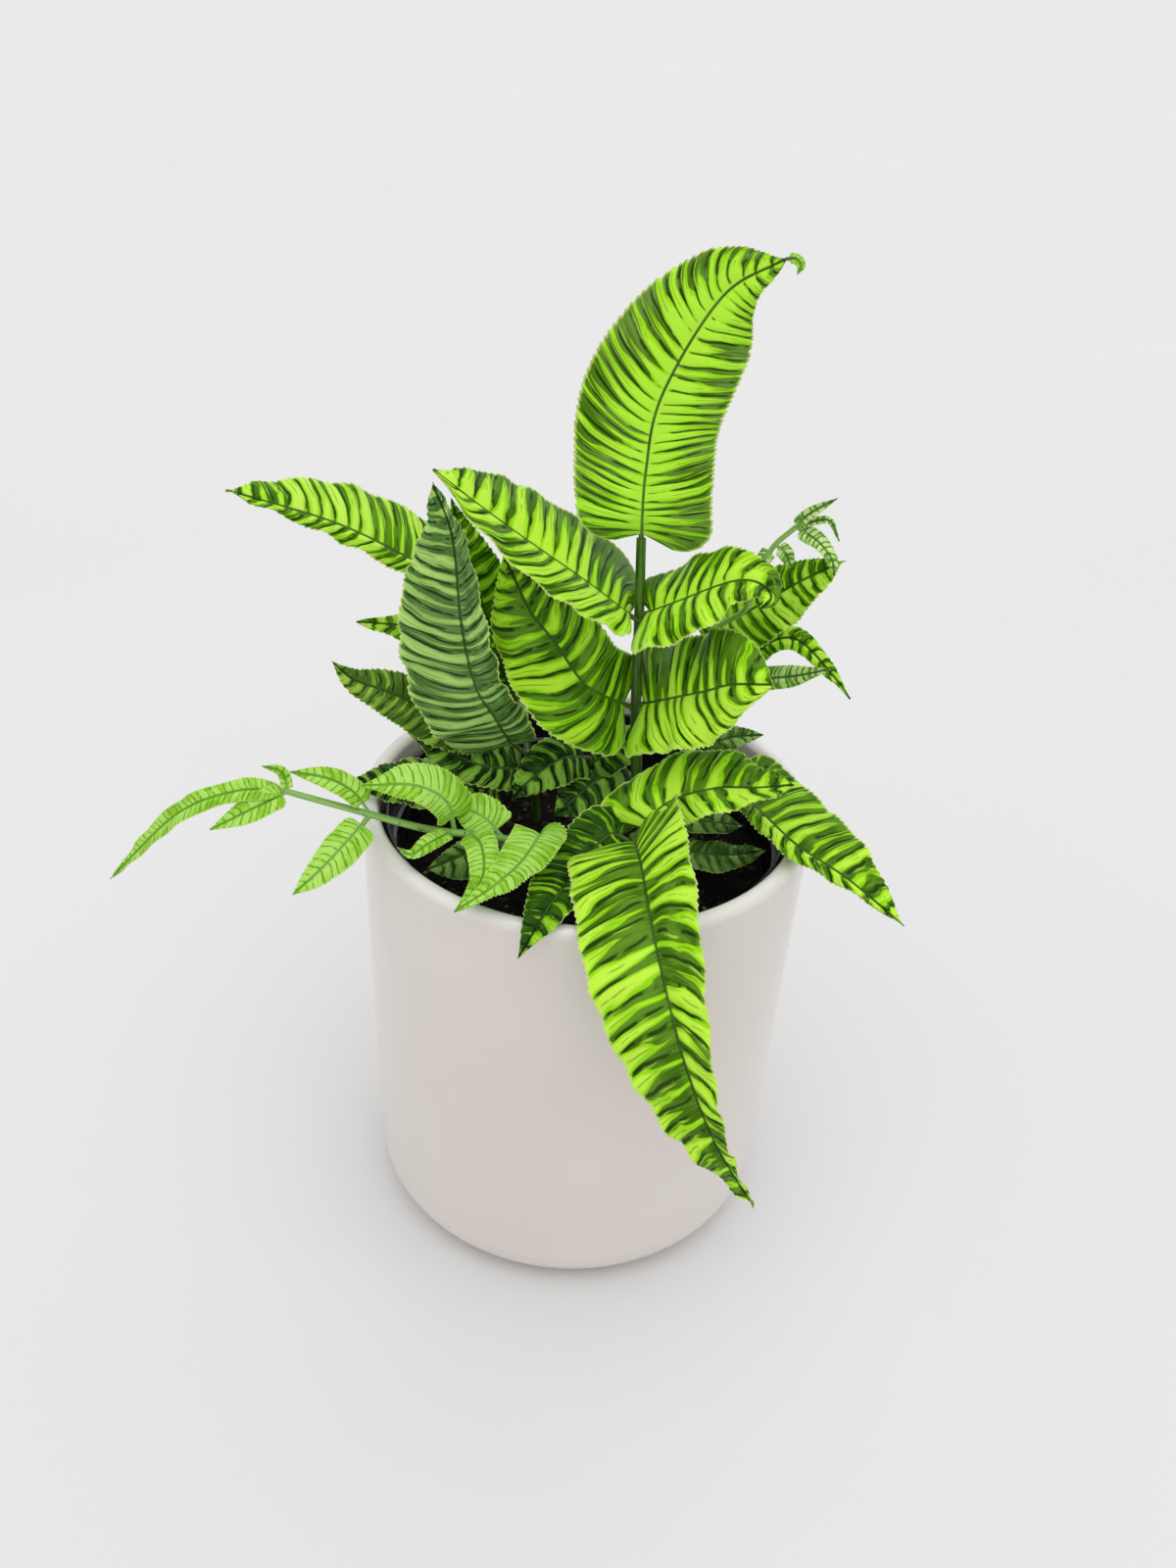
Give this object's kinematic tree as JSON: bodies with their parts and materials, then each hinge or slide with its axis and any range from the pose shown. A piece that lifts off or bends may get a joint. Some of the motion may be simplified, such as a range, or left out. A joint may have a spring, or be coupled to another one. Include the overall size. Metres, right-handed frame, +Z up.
{
  "type": "potted bamboo fern",
  "caption": "Bamboo fern with broad toothed, light and dark banded leaflets, growing in a round glazed cylinder planter that stands on its flat base.",
  "frame": {"origin": "centre of the planter's flat base, where it stands", "axes": "+Z up along the planter's axis, -Y to the front, +X to the right seen from the front"},
  "size_m": [0.2387, 0.1744, 0.3179],
  "materials": {
    "glaze": "gloss",
    "black_plastic": "satin",
    "soil": "matte",
    "leaf": "satin",
    "leaf_dark": "satin",
    "leaf_young": "satin"
  },
  "bodies": {
    "root": {"planter": "glaze", "nursery_pot": "black_plastic", "soil": "soil", "frond_centre": "leaf", "frond_left": "leaf_dark", "frond_low": "leaf_dark", "frond_young_left": "leaf_young", "frond_front": "leaf", "frond_right": "leaf", "frond_back_right": "leaf", "frond_twisted": "leaf", "frond_unfolding": "leaf_young", "frond_grey": "leaf_dark"}
  },
  "joints": []
}
